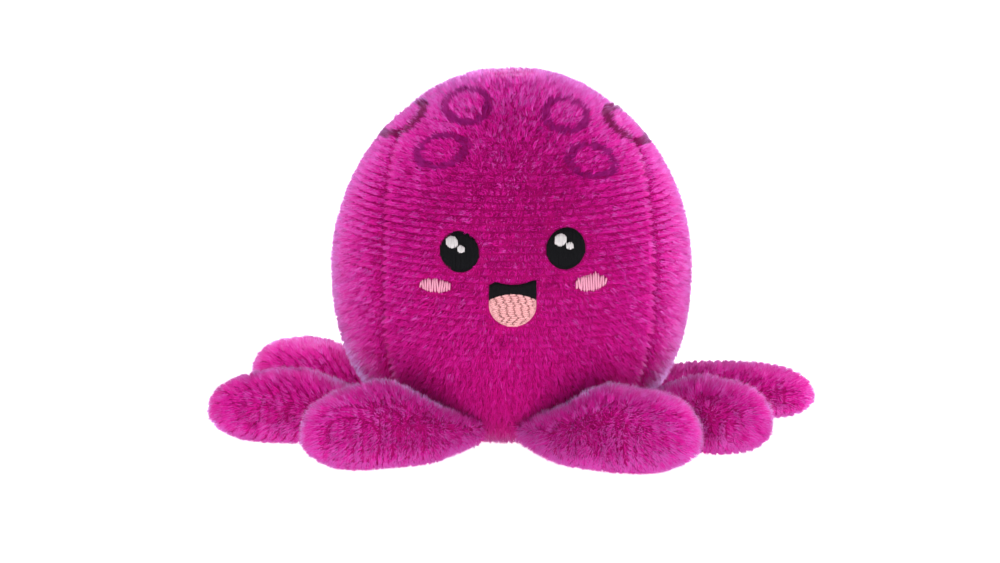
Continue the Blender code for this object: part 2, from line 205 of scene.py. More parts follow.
SEED = 8
LENS_DISTANCE = 1.2
LENS_MM = 205.6
CAMERA_RISE = 12.0
CAMERA_AIM = (-0.00258, 0.0, 0.03085)
MIDDLE = (0, 0, 0.035)
WORLD_STRENGTH = 0.45
FLOOR_GLOW = 1.2
FLOOR_SIZE = 6.0
FLOOR_COLOUR = (0.95, 0.95, 0.95)
WHITE = (1.0, 1.0, 1.0, 1.0)
SENSOR_WIDTH = 36.0
# name: (place, target, size, power)
LIGHTS = {
    "key": ((-0.35, -0.75, 0.75), MIDDLE, 0.5, 3.6),
    "low_front": ((0.0, -0.8, 0.06), (0, -0.03, 0.01), 0.25, 1.0),
    "fill": ((0.55, -0.65, 0.4), MIDDLE, 0.6, 2.6),
    "left_rim": ((-0.6, 0.45, 0.35), MIDDLE, 0.4, 4.8),
    "right_rim": ((0.6, 0.45, 0.35), MIDDLE, 0.4, 6.2),
    "top": ((0.0, 0.3, 0.9), MIDDLE, 0.5, 4.0),
}
# slot of a hidden piece: (name, plain colour)
HIDDEN_FINISHES = {
    "fibre": ("fibre_fill", (0.85, 0.84, 0.82)),
    "bag_cloth": ("bag_weave", (0.8, 0.78, 0.74)),
    "pellets": ("pellet_mix", (0.88, 0.88, 0.86)),
    "sewing_thread": ("seam_thread", (0.3, 0.01, 0.12)),
}
# name: (dark, bright, scale, bump)
MOTTLES = {
    # the cloth's mottle is darkened as painted shade at the pile's roots
    "cloth": ((0.24, 0.003, 0.08), (0.34, 0.005, 0.12), 500.0, 0.4),
    "fibre_fill": ((0.7, 0.69, 0.67), (0.9, 0.9, 0.88), 400.0, 0.6),
    "bag_weave": ((0.62, 0.6, 0.56), (0.82, 0.8, 0.76), 2500.0, 0.3),
    "pellet_mix": ((0.6, 0.6, 0.6), (0.95, 0.95, 0.93), 900.0, 0.8),
    "seam_thread": ((0.2, 0.006, 0.08), (0.34, 0.015, 0.15), 3000.0, 0.0),
}
MOTTLE_DETAIL = 5.0
MOTTLE_DARK_AT = 0.35  # the noise at and below which a mottle is dark
MOTTLE_BRIGHT_AT = 0.68
BUMP_DISTANCE = 0.2 * MM

# name: (lean of the rows across the tentacle in degrees, pile length in mm, fluffiness, painted light)
TENTACLE_PILE = {
    "front_left": (62, 2.0, 0.6, 0.15),
    "side_left": (35, 1.9, 0.5, 0.1),
    "rear_left": (70, 1.8, 0.5, 0.05),
    "back_left": (60, 1.8, 0.5, 0.1),
    "front_right": (50, 2.2, 0.9, 0.15),
    "side_right": (40, 2.2, 0.8, 0.12),
    "rear_right": (12, 1.7, 0.6, 0.1),
    "back_right": (45, 1.8, 0.5, 0.1),
}

# How far the stuffing bends a tentacle's tip aside, in mm.
PRESSED_ASIDE = {"front_right": (0.2, 0.5, 0.0), "front_left": (0.0, 0.5, 0.0)}

# Rings: bearing of the centre, its height (mm), half length and half width (mm), tilt (degrees)
RINGS = {
    "left_upper": (-36.3, 70.1, 6.4, 4.5, 145.3),
    "left_lower": (-34.6, 62.1, 5.6, 3.9, 12.0),
    "left_outer": (-84.0, 65.3, 8.6, 5.1, 12.0),
    "right_upper": (36.6, 68.5, 5.9, 4.3, 27.6),
    "right_lower": (36.6, 60.2, 5.5, 3.8, 172.0),
    "right_outer": (82.0, 64.2, 8.4, 5.1, 168.0),
}
RING_BAND = 0.2
RING_SAG = 4.5 * MM  # how far a ring's print drops below its centre

# Tones of the pile. A strand's tone is picked partly at random and partly by painted light and shade.
PILE_COLOURS = {
    "deep": (0.45, 0.003, 0.14),
    "middle": (0.60, 0.006, 0.23),
    "light": (0.71, 0.016, 0.34),
    # painted sheen: the palest, lilac strands stand in for the fibres' sheen at grazing light
    "painted_sheen_lilac": (0.71, 0.090, 0.49),
    "ink": (0.31, 0.010, 0.17),
    "dark_ink": (0.20, 0.003, 0.07),
}
PILE_SHARES = (0.30, 0.34, 0.26, 0.10)  # of the first four colours
STRAND_NOISE = 0.5
TUFT_NOISE = 0.3
TUFT_MIDDLE = 0.5
TUFT_SPREAD = 0.3
# painted shade: strands between two rows are picked darker, as if shaded by the rows
VALLEY_PAINTED_SHADE = 0.26
# painted sheen: the pile is picked paler towards the sides, as at grazing light
SIDE_PAINTED_SHEEN = 0.3
# painted light: the pile is picked paler on the crown
CROWN_PAINTED_LIGHT = 0.2
PAINTED_LIGHT_FROM = 62.0 * MM  # above this height the pile turns paler with painted light
PAINTED_LIGHT_REACH = 12.0 * MM
# painted shade: the head's pile is picked darker below its waist, where it turns downward
UNDER_PAINTED_SHADE = 0.25
# painted shade: the pile beside the seams is picked darker, as if in the crease's shade
SEAM_PAINTED_SHADE = 0.5
LOW_PAINTED_LIGHT = 0.3  # painted light: near the floor the tentacles' pile is paler, as if lit from the floor
LOW_PAINTED_LIGHT_REACH = 9 * MM
SHEEN_TINT = (0.78, 0.48, 0.97, 1.0)
SHEEN_ROUGHNESS = 0.3
ROUGHNESS = 0.9
# The backing cloth is real but coloured darker than the pile, as painted shade at the pile's roots.
CLOTH_PAINTED_SHADE_COLOUR = (0.30, 0.004, 0.10)


# Small helpers.


def unit(vectors):
    """Vectors scaled to length 1; a vector of length 0 stays 0."""
    lengths = np.linalg.norm(vectors, axis=-1, keepdims=True)
    return vectors / np.maximum(lengths, 1e-12)


def smooth_step(share):
    share = np.clip(share, 0.0, 1.0)
    return share * share * (3 - 2 * share)


def dot(a, b):
    return np.sum(a * b, axis=-1, keepdims=True)


def compass(bearing):
    """Level unit vectors at bearings in radians."""
    bearing = np.asarray(bearing, float)
    return np.stack([np.sin(bearing), -np.cos(bearing), np.zeros_like(bearing)], axis=-1)


def make_material(name, colour, gloss=0.2, sheen=0.0):
    material = bpy.data.materials.new(name)
    material.use_nodes = True
    shader = material.node_tree.nodes["Principled BSDF"]
    shader.inputs["Base Color"].default_value = (*colour, 1.0)
    shader.inputs["Roughness"].default_value = ROUGHNESS
    shader.inputs["Specular IOR Level"].default_value = gloss
    if sheen:
        shader.inputs["Sheen Weight"].default_value = sheen
        shader.inputs["Sheen Roughness"].default_value = SHEEN_ROUGHNESS
        shader.inputs["Sheen Tint"].default_value = SHEEN_TINT
    return material


def add_mottle(material):
    """Gives a material its blotched colour between two others, and a fine bump if it has one."""
    dark, bright, scale, bump = MOTTLES[material.name]
    nodes = material.node_tree.nodes
    links = material.node_tree.links
    shader = nodes["Principled BSDF"]
    coordinates = nodes.new("ShaderNodeTexCoord")
    noise = nodes.new("ShaderNodeTexNoise")
    noise.inputs["Scale"].default_value = scale
    noise.inputs["Detail"].default_value = MOTTLE_DETAIL
    ramp = nodes.new("ShaderNodeValToRGB")
    ramp.color_ramp.elements[0].position = MOTTLE_DARK_AT
    ramp.color_ramp.elements[0].color = (*dark, 1.0)
    ramp.color_ramp.elements[1].position = MOTTLE_BRIGHT_AT
    ramp.color_ramp.elements[1].color = (*bright, 1.0)
    links.new(coordinates.outputs["Object"], noise.inputs["Vector"])
    links.new(noise.outputs["Fac"], ramp.inputs["Fac"])
    links.new(ramp.outputs["Color"], shader.inputs["Base Color"])
    if bump:
        bumps = nodes.new("ShaderNodeBump")
        bumps.inputs["Strength"].default_value = bump
        bumps.inputs["Distance"].default_value = BUMP_DISTANCE
        links.new(noise.outputs["Fac"], bumps.inputs["Height"])
        links.new(bumps.outputs["Normal"], shader.inputs["Normal"])


def add_mesh(name, points, faces, materials, face_materials=None, normals=None):
    """A mesh object from numpy points and faces that all have the same number of corners."""
    mesh = bpy.data.meshes.new(name)
    corners = faces.shape[1]
    mesh.vertices.add(len(points))
    mesh.vertices.foreach_set("co", points.astype(np.float32).ravel())
    mesh.loops.add(faces.size)
    mesh.loops.foreach_set("vertex_index", faces.astype(np.int32).ravel())
    mesh.polygons.add(len(faces))
    starts = np.arange(0, faces.size, corners, dtype=np.int32)
    mesh.polygons.foreach_set("loop_start", starts)
    for material in materials:
        mesh.materials.append(material)
    if face_materials is not None:
        mesh.polygons.foreach_set("material_index", face_materials.astype(np.int32))
    mesh.update(calc_edges=True)
    mesh.shade_smooth()
    if normals is not None:
        mesh.normals_split_custom_set_from_vertices(normals.astype(np.float32))
    obj = bpy.data.objects.new(name, mesh)
    bpy.context.scene.collection.objects.link(obj)
    return obj


# The head's turned shape.


class Head:
    """The head's surface, with arc lengths measured down from its crown."""

    def __init__(self):
        self.radius_at_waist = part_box("right_side_panel")[1].x
        self.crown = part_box("face_panel")[1].z
        self.crown_rise = self.crown - WAIST_HEIGHT
        self.seam_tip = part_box("right_side_panel")[1].z
        angles = np.linspace(0, math.pi, PROFILE_STEPS)
        above = WAIST_HEIGHT + self.crown_rise * np.cos(angles)
        below = WAIST_HEIGHT + WAIST_HEIGHT * np.cos(angles)
        self.heights = np.where(angles < math.pi / 2, above, below)
        self.radii = self.radius(self.heights)
        steps = np.hypot(np.diff(self.heights), np.diff(self.radii))
        self.lengths = np.concatenate([[0.0], np.cumsum(steps)])
        self.neck = self.length_at(NECK_HEIGHT)
        self.seams = self.seam_bearing(self.heights)
        self.seam_turn = np.gradient(self.seams, self.lengths)

    def length_at(self, height):
        return np.interp(-np.asarray(height), -self.heights, self.lengths)

    def height_at(self, length):
        return np.interp(length, self.lengths, self.heights)

    def radius(self, height):
        above = np.maximum(height - WAIST_HEIGHT, 0) / self.crown_rise
        below = np.maximum(WAIST_HEIGHT - height, 0) / BELLY_DROP
        high = np.maximum(0, 1 - np.minimum(above, 1) ** CROWN_POWER) ** (1 / CROWN_POWER)
        low = np.maximum(0, 1 - np.minimum(below, 1) ** BELLY_POWER) ** (1 / BELLY_POWER)
        return self.radius_at_waist * np.where(height >= WAIST_HEIGHT, high, low)

    def slope(self, height):
        """The surface's outward direction as (outward, up)."""
        above = np.maximum(height - WAIST_HEIGHT, 0) / self.crown_rise
        below = np.maximum(WAIST_HEIGHT - height, 0) / BELLY_DROP
        share = np.maximum(self.radius(height) / self.radius_at_waist, 1e-6)
        high = (share ** (CROWN_POWER - 1) / self.radius_at_waist, above ** (CROWN_POWER - 1))
        low = (share ** (BELLY_POWER - 1) / self.radius_at_waist, below ** (BELLY_POWER - 1))
        top = height >= WAIST_HEIGHT
        outward = np.where(top, high[0], low[0])
        up = np.where(top, high[1] / self.crown_rise, -low[1] / BELLY_DROP)
        size = np.hypot(outward, up)
        return outward / size, up / size

    def normal(self, bearing, height):
        outward, up = self.slope(height)
        return compass(bearing) * outward[..., None] + UP * up[..., None]

    def seam_bearing(self, height):
        """Where the face's side seams lie, in radians from the front."""
        climb = (height - WAIST_HEIGHT) / (self.seam_tip - WAIST_HEIGHT)
        share = np.clip(climb, 0, 1) ** SEAM_POWER
        return np.radians(SEAM_BEARING + (90 - SEAM_BEARING) * share)

    def seam_distance(self, bearing, length):
        """How far a point lies from the nearest seam down the head."""
        turned = bearing - SEAM_TURN
        folded = np.abs(np.arctan2(np.sin(turned), np.cos(turned)))
        folded = np.minimum(folded, math.pi - folded)
        seam = np.interp(length, self.lengths, self.seams)
        turn = np.interp(length, self.lengths, self.seam_turn)
        radius = np.interp(length, self.lengths, self.radii)
        return np.abs(folded - seam) * radius / np.hypot(1, radius * turn)

    def lumps(self, bearing, length):
        """Soft unevenness of the stuffing. The phases only place its bulges."""
        wave = np.sin(WAVE_TURNS * bearing + 1.1) * np.sin(length / WAVE_LENGTH + 0.4)
        ripple = np.sin(RIPPLE_TURNS * bearing - 0.7 + length / RIPPLE_LENGTH) * RIPPLE_SHARE
        fade = np.sin(np.clip(length / self.neck, 0, 1) * math.pi)
        fullness = FRONT_FULLNESS + (SIDE_FULLNESS - FRONT_FULLNESS) * np.sin(bearing) ** 2
        return (LUMP_HEIGHT * (wave + ripple) + fullness) * fade

    def skin_point(self, bearing, length):
        """Points of the fabric's surface, sunk into its seams."""
        height = self.height_at(length)
        crease = CREASE_DEPTH * np.exp(-((self.seam_distance(bearing, length) / CREASE_WIDTH) ** 2))
        crease = crease * np.where(height > self.seam_tip, CROWN_CREASE_SHARE, 1.0)
        crease = crease * smooth_step(height / NECK_HEIGHT)
        offset = (self.lumps(bearing, length) - crease + SKIN_PROUD)[..., None]
        radius = np.interp(length, self.lengths, self.radii)[..., None]
        surface = compass(bearing) * radius + UP * height[..., None]
        points = surface + self.normal(bearing, height) * offset
        points[..., 2] = np.maximum(points[..., 2], LOWEST_SKIN)
        return points

    def face_point(self, across, height, proud):
        """The point that stands proud of the frame's panel at a place across and up the face."""
        outward, up = self.slope(height)
        height = height - proud * up
        radius = self.radius(height)
        across = across * radius / (radius + proud * outward)
        forward = np.sqrt(np.maximum(radius**2 - across**2, 0))
        normal = np.stack([across / radius * outward, -forward / radius * outward, up], axis=-1)
        base = np.stack([across, -forward, height], axis=-1)
        return base + normal * np.asarray(proud)[..., None]


# Skins.


def grid_faces(rows, columns):
    """Quads over a grid of rows by columns of points."""
    index = np.arange(rows * columns).reshape(rows, columns)
    corners = (index[1:, :-1], index[1:, 1:], index[:-1, 1:], index[:-1, :-1])
    return np.stack(corners, axis=-1).reshape(-1, 4)


def give_thickness(obj):
    """Thickens a skin inwards and makes the result its own mesh."""
    solidify = obj.modifiers.new("thickness", "SOLIDIFY")
    solidify.thickness = SKIN_THICKNESS
    solidify.offset = -1
    evaluated = obj.evaluated_get(bpy.context.evaluated_depsgraph_get())
    final = bpy.data.meshes.new_from_object(evaluated)
    obj.modifiers.clear()
    obj.data = final


def head_skin(name, head, middle, lengths, half_widths, columns, material):
    """A panel's skin: rows at arc lengths, each half_widths wide to either side of a bearing."""
    shares = np.linspace(-1, 1, columns)
    bearing = middle + SEAM_TURN + half_widths[:, None] * shares[None, :]
    length = np.repeat(lengths[:, None], columns, axis=1)
    points = head.skin_point(bearing, length)
    return add_mesh(name, points.reshape(-1, 3), grid_faces(len(lengths), columns), [material])


def make_head_skins(head, material):
    """The skins of the face, the back, both sides and the base, by the name of their panel."""
    tip = head.length_at(head.seam_tip)
    wide = np.linspace(CROWN_HOLE, head.neck, FACE_GRID[0])
    narrow = np.linspace(tip, head.neck, SIDE_GRID[0])
    low = np.linspace(head.neck, head.lengths[-1] - CROWN_HOLE, BASE_GRID[0])
    wide_half = np.interp(wide, head.lengths, head.seams)
    narrow_half = math.pi / 2 - np.interp(narrow, head.lengths, head.seams)
    whole = np.full(len(low), math.pi)
    right = math.pi / 2
    panels = {
        "face": (0.0, wide, wide_half, FACE_GRID[1]),
        "back": (math.pi, wide, wide_half, FACE_GRID[1]),
        "left_side": (-right, narrow, narrow_half, SIDE_GRID[1]),
        "right_side": (right, narrow, narrow_half, SIDE_GRID[1]),
        "base": (0.0, low, whole, BASE_GRID[1]),
    }
    return {
        panel: head_skin(panel + "_cloth", head, *layout, material)
        for panel, layout in panels.items()
    }


class Tentacle:
    """A tentacle's surface. Stations run from 0 at the hinge to 1 at the tip."""

    def __init__(self, joint, name, pressed):
        root = np.array(joint["pos_m"], float) * (1, 1, 0)
        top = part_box(name + "_tentacle_top")
        node = frame["nodes"][name + "_tentacle_top"]
        corners = np.array([vertex.co for vertex in node.data.vertices])
        self.root = root
        self.radial = unit(root)
        self.tip = self.find_tip(corners, np.array(joint["axis"], float)) + pressed * MM
        self.length = np.linalg.norm(self.tip - self.root)
        self.bend = self.root + self.radial * self.length * BEND_SHARE
        self.thickness = top[1].z
        # Any number will do, so long as each tentacle's dents differ.
        self.phase = 40 * float(self.tip[0] / MM % 1) + 3 * float(self.tip[1] > 0)

    def find_tip(self, corners, axis):
        """The tip in plan. The hinge's heading lies midway between the radial and the tip's way."""
        heading = math.atan2(-axis[1], -axis[0])
        radial = math.atan2(self.radial[0], -self.radial[1])
        tip_way = compass(2 * heading - radial)
        return self.root + tip_way * np.max((corners - self.root) @ tip_way)

    def middle(self, station):
        """The middle line, which runs straight on into the head before its hinge."""
        held = np.maximum(station, 0)[..., None]
        back = 1 - held
        line = self.root * back**2 + self.bend * 2 * back * held + self.tip * held**2
        before = np.minimum(station, 0)[..., None] * self.length
        return line + self.radial * before

    def side(self, station):
        held = np.maximum(station, 0)[..., None]
        along = (self.bend - self.root) * (1 - held) + (self.tip - self.bend) * held
        return unit(np.stack([-along[..., 1], along[..., 0], np.zeros_like(station)], axis=-1))

    def tip_share(self, station):
        beyond = np.clip((station - TIP_START) / (1 - TIP_START), 0, 1)
        return np.maximum(0, 1 - beyond**TIP_POWER) ** (1 / TIP_POWER)

    def skin_point(self, station, turn):
        """Points of the skin: turn runs from 0 at one edge seam over the top to pi, and round below."""
        share = self.tip_share(station)
        round_end = np.minimum(share * TIP_ROUNDING, 1)
        held = np.maximum(station, 0)
        club = smooth_step(held / CLUB_FULL_AT)
        seam = ROOT_SEAM + (CLUB_SEAM_SHARE * self.thickness - ROOT_SEAM) * club
        high = ROOT_TOP + (self.thickness - ROOT_TOP) * club
        low = ROOT_BOTTOM + (CLUB_BOTTOM - ROOT_BOTTOM) * smooth_step(held / CLUB_SETTLED_AT)
        swell = smooth_step(held / CLUB_WIDE_AT)
        half = ROOT_HALF_WIDTH + (CLUB_HALF_WIDTH - ROOT_HALF_WIDTH) * swell
        cosine = np.cos(turn)
        sine = np.sin(turn)
        edge = 1 - EDGE_PINCH * np.exp(-((sine / EDGE_PINCH_REACH) ** 2))
        across = np.sign(cosine) * np.abs(cosine) ** (2 / SECTION_POWER) * edge
        lift = np.abs(sine) ** (2 / SECTION_POWER)
        rise = (high - seam) * share + SKIN_PROUD * round_end
        drop = (seam - low) * share + SKIN_PROUD * round_end
        width = half * share + SKIN_PROUD * round_end
        dent = np.sin(station * DENTS_ALONG + self.phase) * np.sin(turn * DENTS_ROUND + self.phase)
        lift = lift * (1 + DENT_SHARE * dent)
        height = np.maximum(seam + lift * np.where(sine >= 0, rise, -drop), LOWEST_SKIN)
        level = self.middle(station) + self.side(station) * (across * width)[..., None]
        return level + UP * height[..., None]


def tentacle_skin(name, tentacle, upper, material):
    """The skin of a tentacle's top or underside, run on into the head's seam."""
    rows, columns = TENTACLE_GRID
    start = -SEWN_IN / tentacle.length
    bunched = np.sin(np.linspace(0, math.pi / 2, rows))
    stations = start + (1 - start) * bunched
    first = 0 if upper else math.pi
    turns = np.linspace(first, first + math.pi, columns)
    station, turn = np.meshgrid(stations, turns, indexing="ij")
    points = tentacle.skin_point(station, turn)
    faces = grid_faces(*station.shape)[:, ::-1]
    return add_mesh(name, points.reshape(-1, 3), faces, [material])


# Pile.


def scatter(obj, density, random):
    """Random points spread evenly over a mesh, with their normals."""
    mesh = obj.data
    mesh.calc_loop_triangles()
    points = np.zeros(len(mesh.vertices) * 3)
    mesh.vertices.foreach_get("co", points)
    points = points.reshape(-1, 3)
    normals = np.zeros(len(mesh.vertices) * 3)
    mesh.vertices.foreach_get("normal", normals)
    normals = normals.reshape(-1, 3)
    triangles = np.zeros(len(mesh.loop_triangles) * 3, np.int32)
    mesh.loop_triangles.foreach_get("vertices", triangles)
    triangles = triangles.reshape(-1, 3)
    a, b, c = (points[triangles[:, corner]] for corner in range(3))
    areas = np.linalg.norm(np.cross(b - a, c - a), axis=1) / 2
    count = int(areas.sum() * density)
    chosen = random.choice(len(triangles), count, p=areas / areas.sum())
    first, second = random.random((2, count))
    over = first + second > 1
    first[over] = 1 - first[over]
    second[over] = 1 - second[over]
    weights = np.stack([1 - first - second, first, second], axis=1)[..., None]
    places = (points[triangles[chosen]] * weights).sum(1)
    facing = unit((normals[triangles[chosen]] * weights).sum(1))
    return places, facing


def tuft_numbers(row, column, random_table):
    """The same random numbers for every strand of a tuft, picked by two large primes."""
    key = (row.astype(np.int64) * ROW_PRIME) ^ (column.astype(np.int64) * COLUMN_PRIME)
    return random_table[np.mod(key, len(random_table))]


def grow_pile(name, roots, normals, rows, shape, ink_at, materials, random):
    """Strands of pile, gathered into tufts that stand in rows.

    rows is (distance across the rows, distance along them, direction across, direction along).
    shape is (length, comb direction, lean, disorder, painted light and shade).
    """
    *habit, painted_light_and_shade = shape
    tips, valley, tuft_shade = lay_strands(roots, normals, rows, habit, random)
    starts = roots - normals * ROOT_SINK
    starts[:, 2] = np.maximum(starts[:, 2], FLOOR_CLEARANCE)
    points, faces, facing = make_spikes(starts, tips, normals, random)
    strand_noise = random.random(len(roots)) * STRAND_NOISE
    tuft_noise = TUFT_NOISE * (TUFT_MIDDLE + TUFT_SPREAD * tuft_shade)
    # a strand's tone: random per strand and tuft, plus painted shade between rows and the painted light
    # and shade passed in
    tone_and_painted_light = strand_noise + tuft_noise + VALLEY_PAINTED_SHADE * (1 - valley) - painted_light_and_shade
    shade = np.digitize(tone_and_painted_light, np.cumsum(PILE_SHARES)[:-1])
    ink = ink_at(tips)
    shade = np.where(ink > 0, len(PILE_SHARES) - 1 + ink, shade)
    return add_mesh(name, points, faces, materials, np.repeat(shade, 4), facing)


def lay_strands(roots, normals, rows, habit, random):
    """The strands' tips, how deep between two rows each strand stands, and its tuft's shade."""
    across, along, across_way, along_way = rows
    length, comb, lean, disorder = habit
    count = len(roots)
    table = random.standard_normal((TUFT_TABLE, 4))
    row = np.floor(across / ROW_PITCH)
    column = np.floor(along / TUFT_PITCH + 0.5 * np.mod(row, 2))
    tuft = tuft_numbers(row, column, table)
    off_row = (row + 0.5) * ROW_PITCH - across
    off_tuft = (column + 0.5 - 0.5 * np.mod(row, 2)) * TUFT_PITCH - along
    gather = 1 - LOOSENING * disorder
    pull = across_way * off_row[:, None] * ROW_GATHER + along_way * off_tuft[:, None] * TUFT_GATHER
    valley = (np.abs(off_row) / (ROW_PITCH / 2)) ** 2 * gather
    uneven = 1 + UNEVEN_TUFTS * tuft[:, 0] + UNEVEN_STRANDS * random.standard_normal(count)
    reach = length * (1 - VALLEY_DEPTH * valley) * uneven
    stray = random.standard_normal((count, 3)) * (STRAY + DISORDERED_STRAY * disorder[:, None])
    sway = along_way * tuft[:, 1:2] * SWAY_ALONG + across_way * tuft[:, 2:3] * SWAY_ACROSS
    way = unit(normals + comb * lean[:, None] + sway + stray)
    tips = roots + way * reach[:, None] + pull * gather[:, None]
    tips[:, 2] = np.maximum(tips[:, 2], FLOOR_CLEARANCE)
    return tips, valley, tuft[:, 3]


def make_spikes(starts, tips, normals, random):
    """Slim closed spikes of four points, with normals that follow the cloth more than the spike."""
    count = len(starts)
    way = unit(tips - starts)
    side = unit(np.cross(way, np.roll(way, 1, axis=1) + 0.3))
    other = np.cross(way, side)
    width = STRAND_RADIUS * (1 + STRAND_SPREAD * random.random(count))[:, None]
    slant = math.cos(math.radians(30))
    corners = [starts + side * width]
    corners.append(starts + (other * slant - side * 0.5) * width)
    corners.append(starts - (other * slant + side * 0.5) * width)
    corners.append(tips)
    points = np.stack(corners, axis=1).reshape(-1, 3)
    first = np.arange(count)[:, None] * 4
    faces = (first[..., None] + np.array([STRAND_FACES])).reshape(-1, 3)
    facing = np.repeat(unit(normals + way * STRAND_FACING), 4, axis=0)
    round_off = unit(points - np.repeat(starts, 4, axis=0) + 1e-9)
    return points, faces, unit(facing + round_off * STRAND_ROUNDING)


def no_ink(places):
    return np.zeros(len(places), int)


def ring_ink(head, places):
    """0 off the rings, 1 on them, and 2 on the two outer rings, whose ink is darker."""
    ink = np.zeros(len(places), int)
    for name, (bearing, height, half_long, half_short, tilt) in RINGS.items():
        angle = math.radians(bearing)
        level = compass(angle)
        outward, up = head.slope(np.array(height * MM))
        normal = level * outward + UP * up
        right = np.array([math.cos(angle), math.sin(angle), 0.0])
        rise = np.cross(normal, right)
        rise = rise * np.sign(rise[2])
        centre = level * head.radius(np.array(height * MM)) + UP * height * MM + normal * PILE_TOP
        from_centre = places - centre
        u = from_centre @ right
        v = from_centre @ rise
        turn = math.radians(tilt)
        long_way = (u * math.cos(turn) + v * math.sin(turn)) / (half_long * MM)
        short_way = (v * math.cos(turn) - u * math.sin(turn)) / (half_short * MM)
        near = from_centre @ normal > -RING_SAG
        band = near & (np.abs(np.hypot(long_way, short_way) - 1) < RING_BAND)
        ink[band] = 2 if "outer" in name else 1
    return ink


def head_piles(panel, skin, head, patches, materials, random):
    """The pile of one of the head's panels, left out under the embroidery."""
    places, normals = scatter(skin, STRANDS_PER_MM2 / MM**2, random)
    keep = np.ones(len(places), bool)
    if panel == "face":
        keep = ~under_patches(places, [outline_of(patch, CLEAR_MARGIN) for patch in patches])
    bands = {"_pile": keep}
    if panel in ("face", "back"):
        upper = places[:, 2] > BAND_EDGE
        bands = {"_upper_pile": keep & upper, "_lower_pile": keep & ~upper}
    return [
        head_pile(panel + end, places[band], normals[band], head, patches, materials, random)
        for end, band in bands.items()
    ]


def head_pile(name, places, normals, head, patches, materials, random):
    """One piece of the head's pile, in rows that run level round the head."""
    bearing = np.arctan2(places[:, 0], -places[:, 1])
    height = places[:, 2]
    length = head.length_at(height)
    smooth_normals = head.normal(bearing, height)
    normals = unit(normals * (1 - SMOOTH_NORMALS) + smooth_normals * SMOOTH_NORMALS)
    radius = np.hypot(places[:, 0], places[:, 1])
    round_way = np.stack([np.cos(bearing), np.sin(bearing), np.zeros(len(bearing))], axis=-1)
    down = unit(np.cross(round_way, normals) * -1)
    down = down * np.where(down[:, 2:3] > 0, -1, 1)
    flow = np.sin(bearing * FLOW_TURNS + length / FLOW_LENGTH) * FLOW_SHARE
    comb = unit(down + round_way * flow[:, None])
    beside_seam = smooth_step(head.seam_distance(bearing, length) / SEAM_SHADOW)
    if "base" in name:
        beside_seam = np.ones(len(places))
    full = HEAD_PILE * smooth_step((height - FULL_PILE_FROM) / FULL_PILE_REACH)
    reach = np.maximum(full, BASE_PILE) * (SEAM_PILE_SHARE + (1 - SEAM_PILE_SHARE) * beside_seam)
    order = HEAD_ORDER
    if "face" in name:
        order = FACE_ORDER
        pressed = under_patches(places, [outline_of(patch, SHORT_MARGIN) for patch in patches])
        reach = np.where(pressed, reach * PRESSED_SHARE, reach)
    off_crown = smooth_step(length / CROWN_SWIRL)
    smoothed = SMOOTHED_ORDER * smooth_step((height - SMOOTH_FROM) / SMOOTH_REACH)
    lean = HEAD_LEAN * off_crown
    disorder = 1 - (order - smoothed) * off_crown * beside_seam
    # painted sheen on the sides
    painted_light = SIDE_PAINTED_SHEEN * np.sin(bearing) ** 4
    # painted light on the crown
    painted_light = painted_light + CROWN_PAINTED_LIGHT * smooth_step((height - PAINTED_LIGHT_FROM) / PAINTED_LIGHT_REACH)
    # painted shade on the head's underside
    under = UNDER_PAINTED_SHADE * (1 - smooth_step(height / WAIST_HEIGHT))
    # painted shade beside the seams and below the waist, less the painted light on the sides and crown
    painted_light_and_shade = SEAM_PAINTED_SHADE * (1 - beside_seam) + under - painted_light
    rows = (length, bearing * np.maximum(radius, 1 * MM), down, round_way)
    shape = (reach, comb, lean, disorder, painted_light_and_shade)
    return grow_pile(
        name, places, normals, rows, shape, lambda tips: ring_ink(head, tips), materials, random
    )


def tentacle_pile(name, skin, tentacle, settings, materials, random):
    """The pile of a tentacle's top or underside, with rows that cross the plan at an angle."""
    tilt, length, fluff, painted_light = settings
    places, normals = scatter(skin, STRANDS_PER_MM2 / MM**2, random)
    height = places[:, 2]
    axis = unit(tentacle.tip - tentacle.root)
    sideways = np.array([-axis[1], axis[0], 0.0])
    turn = math.radians(tilt)
    row_way = axis * math.cos(turn) + sideways * math.sin(turn)
    line_way = sideways * math.cos(turn) - axis * math.sin(turn)
    across_way = unit(row_way - normals * dot(normals, row_way))
    along_way = unit(line_way - normals * dot(normals, line_way))
    comb = unit(axis - UP * COMB_DROP - normals * dot(normals, axis))
    low = smooth_step((height - LOW_PILE_FROM) / LOW_PILE_REACH)
    reach = length * MM * (LOW_PILE_SHARE + (1 - LOW_PILE_SHARE) * low)
    lean = np.full(len(places), TENTACLE_LEAN)
    disorder = np.full(len(places), fluff)
    # painted light: the tentacles' pile is picked paler, and paler still near the floor
    painted_light_and_shade = -painted_light - LOW_PAINTED_LIGHT * (1 - smooth_step(height / LOW_PAINTED_LIGHT_REACH))
    rows = (places @ row_way, places @ line_way, across_way, along_way)
    shape = (reach, comb, lean, disorder, painted_light_and_shade)
    return grow_pile(name, places, normals, rows, shape, no_ink, materials, random)


# Embroidery.


def under_patches(places, patches):
    """Whether places lie under any of the patches of embroidery, each a closed (x, z) outline."""
    inside = np.zeros(len(places), bool)
    for outline in patches:
        hit = np.zeros(len(places), bool)
        x, z = places[:, 0], places[:, 2]
        for (x1, z1), (x2, z2) in zip(outline, np.roll(outline, -1, axis=0)):
            spans = (z1 > z) != (z2 > z)
            height = z2 - z1 if abs(z2 - z1) > 1e-9 else 1e-9
            hit ^= spans & (x < (x2 - x1) * (z - z1) / height + x1)
        inside |= hit
    return inside


